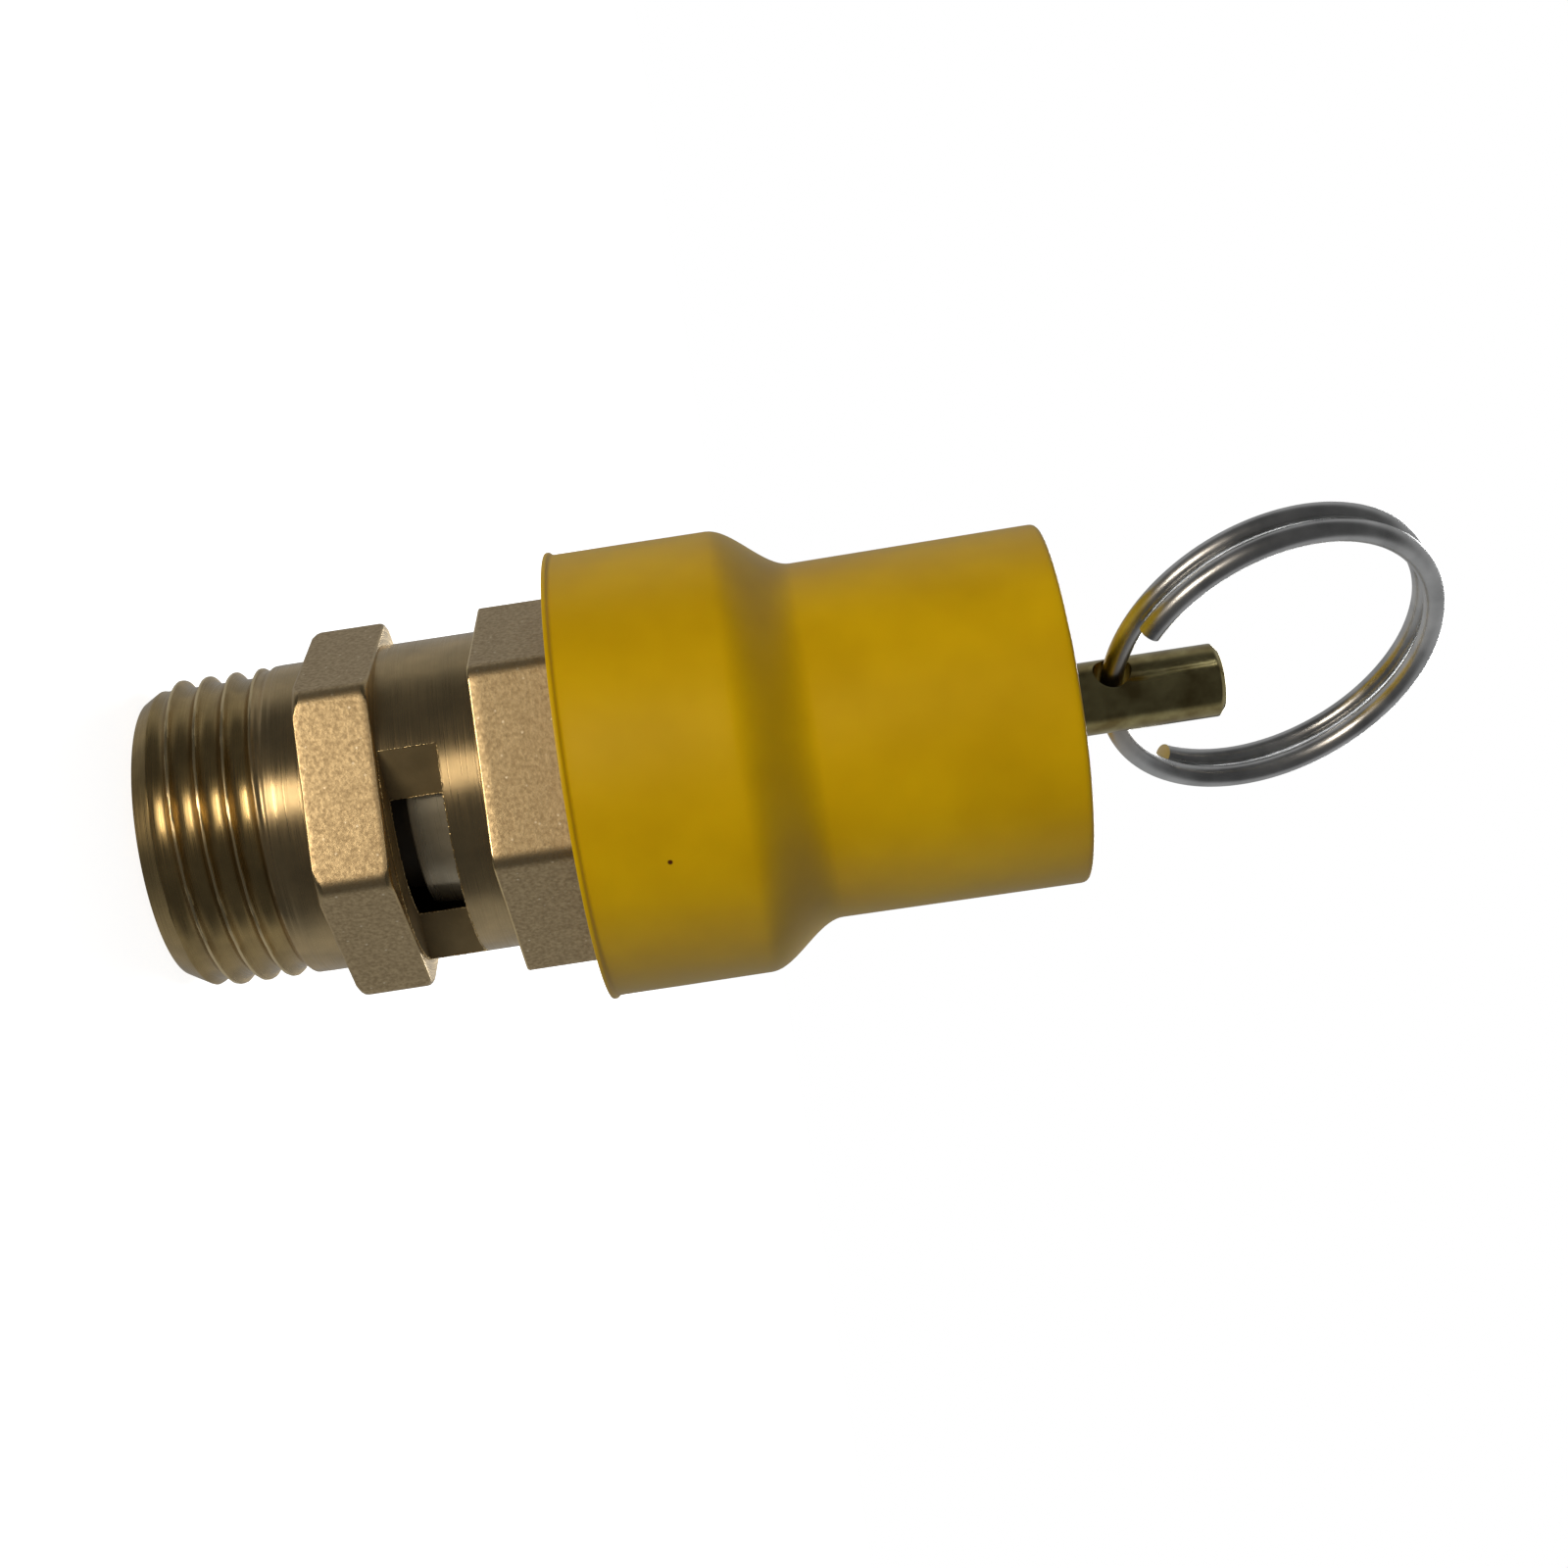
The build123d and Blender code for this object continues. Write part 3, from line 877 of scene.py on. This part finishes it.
def yellow_vinyl():
    """Dip-moulded vinyl: warm yellow, waxy and a little translucent, with faint scuffs and one
    dark speck."""
    cloud_patch = 9.0
    peel_size = 0.7
    relief = 0.006
    speck_place = Vector((7.95, -12.78, 33.7)) * mm
    speck_core, speck_rim = 0.12, 0.2
    material, tree, shader = new_material("vinyl_yellow_dip_moulded")
    place = node(tree, "ShaderNodeTexCoord").outputs["Object"]
    cloud = node(
        tree,
        "ShaderNodeTexNoise",
        {"Scale": 1 / (cloud_patch * mm), "Detail": 3.0},
        {"Vector": place},
    ).outputs["Fac"]
    peel = node(
        tree,
        "ShaderNodeTexNoise",
        {"Scale": 1 / (peel_size * mm), "Detail": 3.0},
        {"Vector": place},
    ).outputs["Fac"]
    cloud_share = node(
        tree, "ShaderNodeMapRange", {"From Min": 0.3, "From Max": 0.7}, {"Value": cloud}
    ).outputs[0]
    colour = node(
        tree,
        "ShaderNodeMixRGB",
        {"Color1": linear("D9AE00"), "Color2": linear("EDC200")},
        {"Fac": cloud_share},
    ).outputs[0]
    away = node(
        tree, "ShaderNodeVectorMath", {"operation": "DISTANCE", 1: speck_place}, {0: place}
    ).outputs["Value"]
    speck = node(
        tree,
        "ShaderNodeMapRange",
        {"From Min": speck_core * mm, "From Max": speck_rim * mm, "To Min": 1, "To Max": 0},
        {"Value": away},
    ).outputs[0]
    colour = node(
        tree, "ShaderNodeMixRGB", {"Color2": linear("5A2A08")}, {"Fac": speck, "Color1": colour}
    ).outputs[0]
    tree.links.new(colour, shader.inputs["Base Color"])
    dullness = node(
        tree,
        "ShaderNodeMapRange",
        {"From Min": 0.3, "From Max": 0.7, "To Min": 0.32, "To Max": 0.4},
        {"Value": cloud},
    ).outputs[0]
    tree.links.new(dullness, shader.inputs["Roughness"])
    bump = node(
        tree, "ShaderNodeBump", {"Strength": 0.5, "Distance": relief * mm}, {"Height": peel}
    ).outputs[0]
    tree.links.new(bump, shader.inputs["Normal"])
    shader.inputs["IOR"].default_value = 1.54
    shader.inputs["Specular IOR Level"].default_value = 0.3
    shader.inputs["Subsurface Weight"].default_value = 0.15
    shader.inputs["Subsurface Radius"].default_value = (1.0, 0.6, 0.1)
    shader.inputs["Subsurface Scale"].default_value = 1.2 * mm
    return material


cap = turned_piece(
    "cap_moulded",
    [
        (skirt_inner, cap_bottom, 0.3),
        (lip_radius, cap_bottom, 0.08),
        (lip_radius, cap_bottom + lip_height, 0.08),
        (skirt_outer, cap_bottom + lip_end, 0.15),
        *shoulder_curve(skirt_outer, grip_outer, shoulder_start, shoulder_end),
        (flare_outer, cap_top - flare_height, 0.3),
        (flare_outer, cap_top, 1.0),
        (cap_hole, cap_top, 0.25),
        (cap_hole, cap_top - end_wall, 0.15),
        (grip_inner, cap_top - end_wall, 0.3),
        *shoulder_curve(skirt_inner, grip_inner, shoulder_start, shoulder_end)[::-1],
    ],
    spacing=0.5,
    material=yellow_vinyl(),
    sides=220,
)
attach(cap, "housing")
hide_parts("cap")

# ---------------------------------------------------------------------------------------------
# Pull ring. Nearly two turns of round spring wire, nickel plated, wound like a key ring and
# threaded through the stem's cross hole. Both ends are cut square and left as cut.
# ---------------------------------------------------------------------------------------------
wire_radius = 0.75
ring_radius = 11.6
ring_lay = 1.75
ring_angles = (-325, 307)
ring_lean = math.radians(9)
hole_slack = 0.134
ring_step = 2.0
wire_sides = 28

across_ring = np.array([math.sin(hole_direction), -math.cos(hole_direction), 0])
up_axis = np.array([0, 0, 1.0])
ring_up = math.sin(ring_lean) * across_ring + math.cos(ring_lean) * up_axis
ring_normal = -math.cos(ring_lean) * across_ring + math.sin(ring_lean) * up_axis
ring_centre = hole_middle + ring_up * (ring_radius - hole_slack)


def ring_point(degrees):
    """A point on the wire's centre line, by its angle from the cross hole."""
    turn = math.radians(degrees)
    offset = ring_radius * (-math.cos(turn) * ring_up + math.sin(turn) * through_hole)
    return ring_centre + offset - ring_lay * degrees / 360 * ring_normal


def plated_wire():
    """Nickel plated wire: a bright neutral mirror drawn into long faint lines, and browner
    near the stem's cross hole."""
    cloud_patch = 3.0
    pit_size = 0.9
    pit_depth = 0.0005
    tint_core, tint_rim = 2.5, 7.0
    material, tree, shader = new_material("nickel_plated_wire")
    place = node(tree, "ShaderNodeTexCoord").outputs["Object"]
    cloud = node(
        tree,
        "ShaderNodeTexNoise",
        {"Scale": 1 / (cloud_patch * mm), "Detail": 4.0},
        {"Vector": place},
    ).outputs["Fac"]
    pits = node(
        tree, "ShaderNodeTexNoise", {"Scale": 1 / (pit_size * mm), "Detail": 2.0}, {"Vector": place}
    ).outputs["Fac"]
    cloud_share = node(
        tree, "ShaderNodeMapRange", {"From Min": 0.35, "From Max": 0.65}, {"Value": cloud}
    ).outputs[0]
    clean = node(
        tree,
        "ShaderNodeMixRGB",
        {"Color1": linear("C0C1C1"), "Color2": linear("E4E5E5")},
        {"Fac": cloud_share},
    ).outputs[0]
    near = node(
        tree,
        "ShaderNodeVectorMath",
        {"operation": "DISTANCE", 1: Vector((0, 0, hole_level * mm))},
        {0: place},
    ).outputs["Value"]
    # Mixes a brown colour into the wire near the stem's cross hole.
    hole_tint = node(
        tree,
        "ShaderNodeMapRange",
        {"From Min": tint_core * mm, "From Max": tint_rim * mm, "To Min": 0.55, "To Max": 0},
        {"Value": near},
    ).outputs[0]
    colour = node(
        tree, "ShaderNodeMixRGB", {"Color2": linear("8C7548")}, {"Fac": hole_tint, "Color1": clean}
    ).outputs[0]
    tree.links.new(colour, shader.inputs["Base Color"])
    dullness = node(
        tree,
        "ShaderNodeMapRange",
        {"From Min": 0.3, "From Max": 0.7, "To Min": 0.26, "To Max": 0.36},
        {"Value": cloud},
    ).outputs[0]
    tree.links.new(dullness, shader.inputs["Roughness"])
    bump = node(
        tree, "ShaderNodeBump", {"Strength": 1.0, "Distance": pit_depth * mm}, {"Height": pits}
    ).outputs[0]
    tree.links.new(bump, shader.inputs["Normal"])
    shader.inputs["Metallic"].default_value = 1.0
    return material


ring_turn = np.arange(ring_angles[0], ring_angles[1] + 0.1, ring_step)
ring_sizes = np.full(len(ring_turn), wire_radius)
ring_line = [ring_point(degrees) for degrees in ring_turn]
ring = tube_mesh("pull_ring_wire", sweep(ring_line, ring_sizes, wire_sides), plated_wire())
smooth_with_edges(ring, sharp_angle=60)
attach(ring, "pull_ring")
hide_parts("split_ring")

# ---------------------------------------------------------------------------------------------
# Table, light and camera. A plain pale floor that takes no part in the lighting, a dim room with a
# paler side behind the valve, a warm soft lamp in front of it, a fill lamp that metal doesn't
# mirror, a neutral lamp behind and above it, and a camera turned so that the valve lies across.
# ---------------------------------------------------------------------------------------------
floor_radius = 3.0
floor_gap = 0.05
camera_distance = 156.4
camera_shift = 2.6
camera_level = 41.4
camera_lens = 52.9
camera_sensor = 36.0
camera_roll = math.asin(0.1506)

world = bpy.data.worlds.new("dim_room")
world.use_nodes = True
bpy.context.scene.world = world
room = world.node_tree
room_direction = node(room, "ShaderNodeTexCoord").outputs["Generated"]
room_split = node(room, "ShaderNodeSeparateXYZ", None, {0: room_direction}).outputs
room_light = node(
    room,
    "ShaderNodeMapRange",
    {"From Min": -0.15, "From Max": 0.2, "To Min": 0.07, "To Max": 0.34},
    {"Value": room_split["Y"]},
).outputs[0]
room_colour = node(
    room, "ShaderNodeCombineXYZ", None, {"X": room_light, "Y": room_light, "Z": room_light}
).outputs[0]
seen_directly = node(room, "ShaderNodeLightPath").outputs["Is Camera Ray"]
room_seen = node(
    room,
    "ShaderNodeMixRGB",
    {"Color2": linear("FFFFFF")},
    {"Fac": seen_directly, "Color1": room_colour},
).outputs[0]
room.links.new(room_seen, room.nodes["Background"].inputs["Color"])

floor_mesh = bpy.data.meshes.new("pale_floor")
floor_disc = bmesh.new()
bmesh.ops.create_circle(floor_disc, cap_ends=True, radius=floor_radius, segments=96)
floor_disc.to_mesh(floor_mesh)
floor_disc.free()
floor = bpy.data.objects.new("pale_floor", floor_mesh)
floor.location.z = -floor_gap * mm
bpy.context.scene.collection.objects.link(floor)
# Matt pale paint that glows a little, so that the table stays an even near-white.
floor_paint, _, floor_shader = new_material("table_matt_pale_paint")
floor_shader.inputs["Base Color"].default_value = linear("E6E6E6")
floor_shader.inputs["Roughness"].default_value = 0.8
floor_shader.inputs["Emission Color"].default_value = linear("FFFFFF")
floor_shader.inputs["Emission Strength"].default_value = 0.88
floor_mesh.materials.append(floor_paint)
floor.visible_glossy = False
floor.visible_diffuse = False
floor.visible_shadow = False


def soft_lamp(name, place, target, size, watts, colour, mirrored):
    """A square soft box that faces its target, and that metal mirrors or not."""
    lamp = bpy.data.lights.new(name, "AREA")
    lamp.size = size * mm
    lamp.energy = watts
    lamp.color = linear(colour)[:3]
    soft_box = bpy.data.objects.new(name, lamp)
    soft_box.location = place * mm
    aim = target * mm - soft_box.location
    soft_box.rotation_euler = aim.to_track_quat("-Z", "Y").to_euler()
    soft_box.visible_glossy = mirrored
    bpy.context.scene.collection.objects.link(soft_box)


middle = Vector((0, 0, 38))
view_turn = math.radians(7)
view_side = Vector((math.cos(view_turn), math.sin(view_turn), 0))
view_away = Vector((-math.sin(view_turn), math.cos(view_turn), 0))
lamp_swing = math.radians(17)
lamp_side = -math.sin(lamp_swing) * view_side - math.cos(lamp_swing) * view_away
key_place = lamp_side * 400 + Vector((0, 0, -190))
fill_place = view_away * -600 + view_side * -110 + Vector((0, 0, -200))
back_place = view_away * 380 + Vector((0, 0, 290))
soft_lamp("key_lamp", key_place, middle, size=150, watts=0.66, colour="FFF0DC", mirrored=True)
soft_lamp("front_fill", fill_place, middle, size=400, watts=1.25, colour="FFF8EC", mirrored=False)
soft_lamp("back_lamp", back_place, middle, size=220, watts=1.3, colour="FFFFFF", mirrored=True)

camera_data = bpy.data.cameras.new("camera")
camera_data.lens = camera_lens
camera_data.sensor_width = camera_sensor
camera_data.clip_start = 0.01
camera = bpy.data.objects.new("camera", camera_data)
up = Vector((0, 0, 1))
camera_right = up * math.cos(camera_roll) + view_side * math.sin(camera_roll)
camera_up = up * math.sin(camera_roll) - view_side * math.cos(camera_roll)
camera_turn = Matrix((camera_right, camera_up, -view_away)).transposed().to_4x4()
camera_place = view_side * camera_shift - view_away * camera_distance + up * camera_level
camera.matrix_world = Matrix.Translation(camera_place * mm) @ camera_turn
bpy.context.scene.collection.objects.link(camera)
bpy.context.scene.camera = camera
bpy.context.scene.view_settings.view_transform = "Standard"
